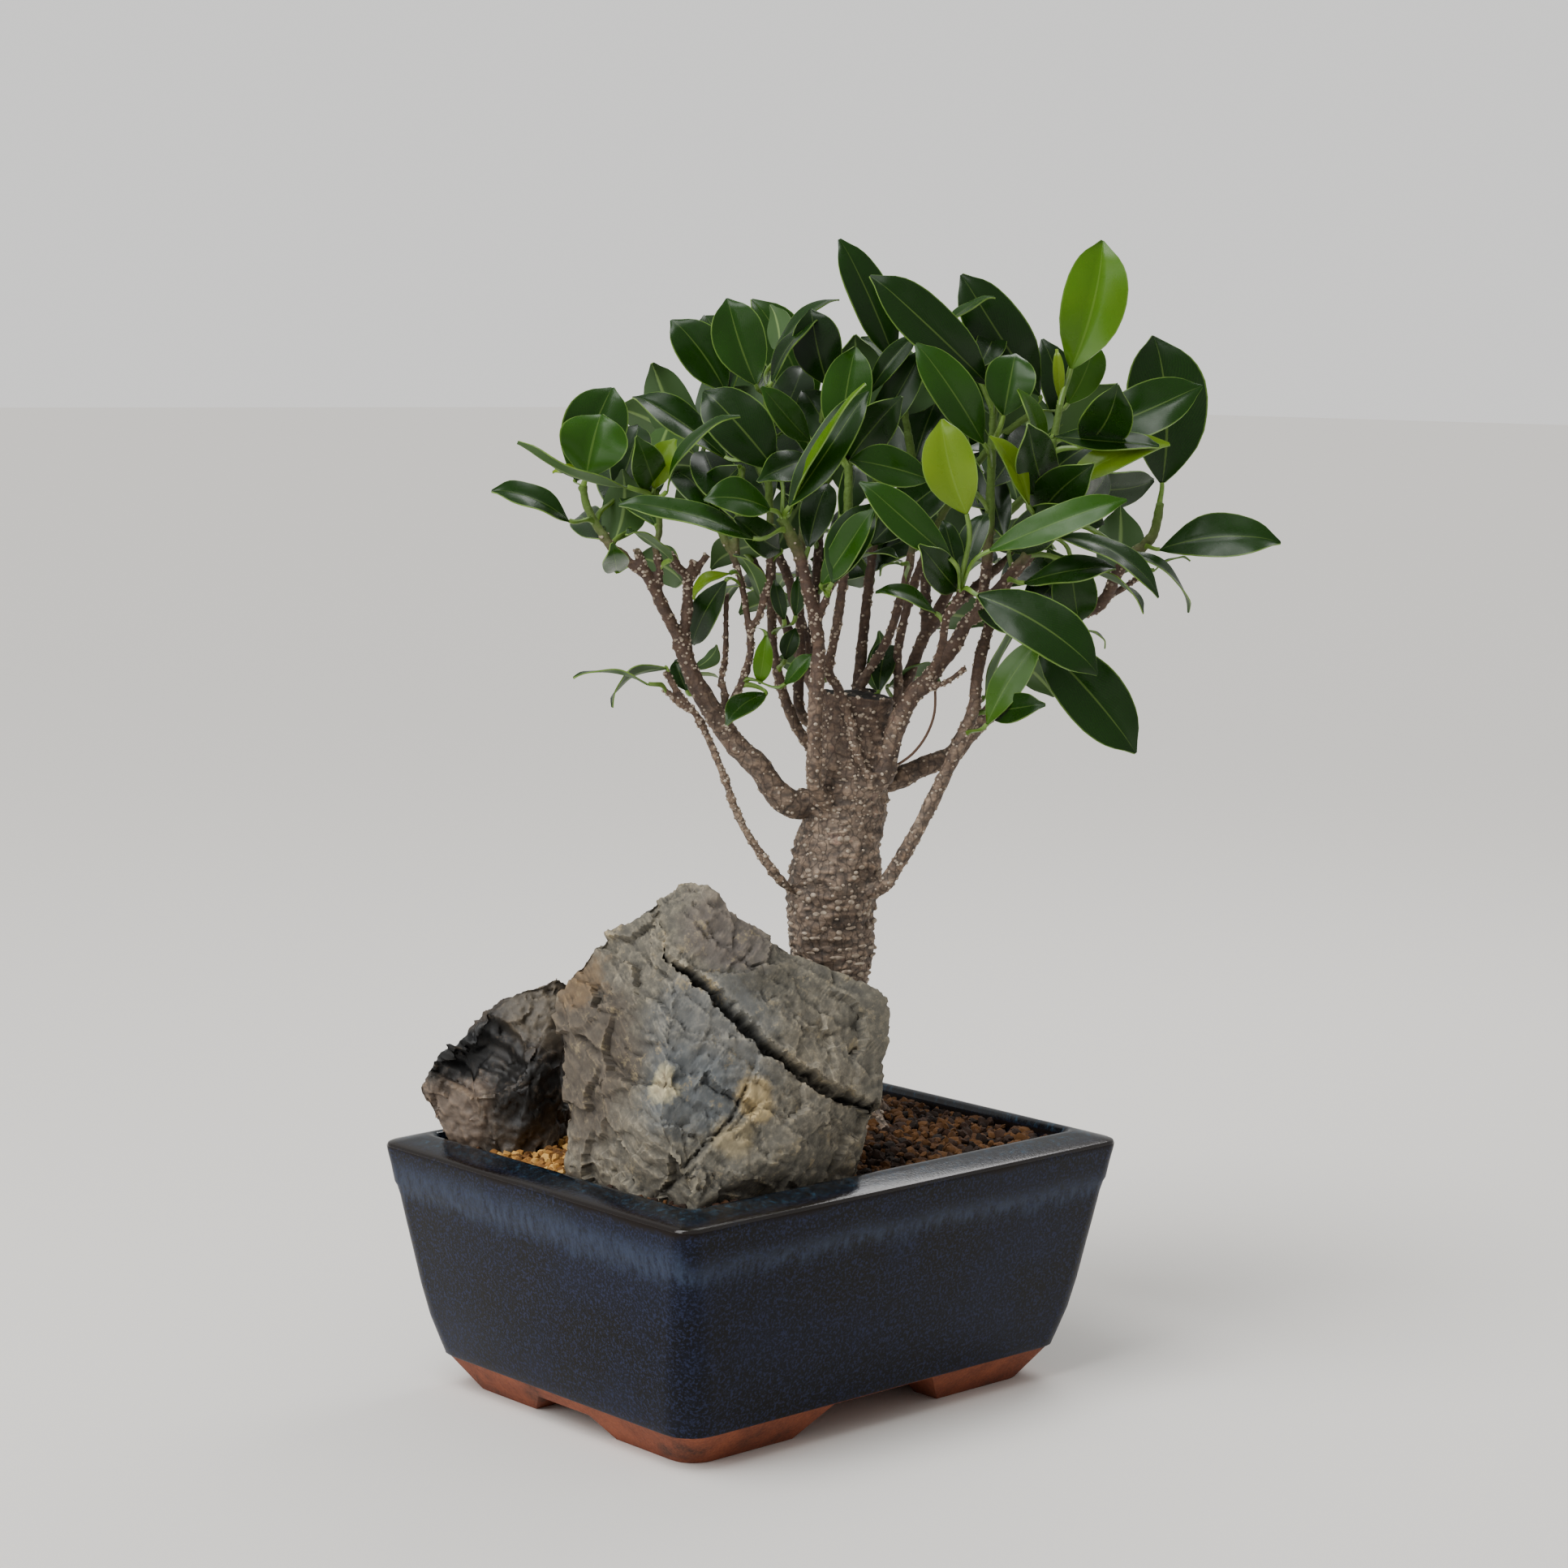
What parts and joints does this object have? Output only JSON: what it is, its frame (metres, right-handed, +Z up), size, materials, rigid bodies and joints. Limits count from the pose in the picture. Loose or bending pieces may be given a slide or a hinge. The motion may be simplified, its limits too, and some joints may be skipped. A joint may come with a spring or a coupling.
{
  "type": "bonsai tree in a pot",
  "caption": "Small ficus bonsai with a stout trunk and glossy oval leaves, planted beside two rocks in a rectangular glazed pot with cut-out feet",
  "frame": {"origin": "on the table, under the middle of the whole plant's box", "axes": "+Z up, X along the pot's long side, Y along its short side; the planting faces the front left corner (-X, -Y)"},
  "size_m": [0.1982, 0.1528, 0.2951],
  "materials": {
    "glaze": "gloss",
    "bare_clay": "matte",
    "netting": "matte",
    "wire": "satin",
    "soil": "matte",
    "gravel": "matte",
    "grey_rock": "matte",
    "dark_rock": "satin",
    "bark": "matte",
    "green_stem": "satin",
    "leaf": "gloss"
  },
  "bodies": {
    "root": {"pot": "glaze", "drain_mesh_left": "netting", "drain_mesh_right": "netting", "mesh_wire_left": "wire", "mesh_wire_right": "wire", "soil_bed": "soil", "pale_gravel": "gravel", "large_rock": "grey_rock", "small_rock": "dark_rock", "tree": "bark", "leaf_01": "leaf", "leaf_02": "leaf", "leaf_03": "leaf", "leaf_04": "leaf", "leaf_05": "leaf", "leaf_06": "leaf", "leaf_07": "leaf", "leaf_08": "leaf", "leaf_09": "leaf", "leaf_10": "leaf", "leaf_11": "leaf", "leaf_12": "leaf", "leaf_13": "leaf", "leaf_14": "leaf", "leaf_15": "leaf", "leaf_16": "leaf", "leaf_17": "leaf", "leaf_18": "leaf", "leaf_19": "leaf", "leaf_20": "leaf", "leaf_21": "leaf", "leaf_22": "leaf", "leaf_23": "leaf", "leaf_24": "leaf", "leaf_25": "leaf", "leaf_26": "leaf", "leaf_27": "leaf", "leaf_28": "leaf", "leaf_29": "leaf", "leaf_30": "leaf", "leaf_31": "leaf", "leaf_32": "leaf", "leaf_33": "leaf", "leaf_34": "leaf", "leaf_35": "leaf", "leaf_36": "leaf", "leaf_37": "leaf", "leaf_38": "leaf", "leaf_39": "leaf", "leaf_40": "leaf", "leaf_41": "leaf", "leaf_42": "leaf", "leaf_43": "leaf", "leaf_44": "leaf", "leaf_45": "leaf", "leaf_46": "leaf", "leaf_47": "leaf", "leaf_48": "leaf", "leaf_49": "leaf", "leaf_50": "leaf"}
  },
  "joints": []
}
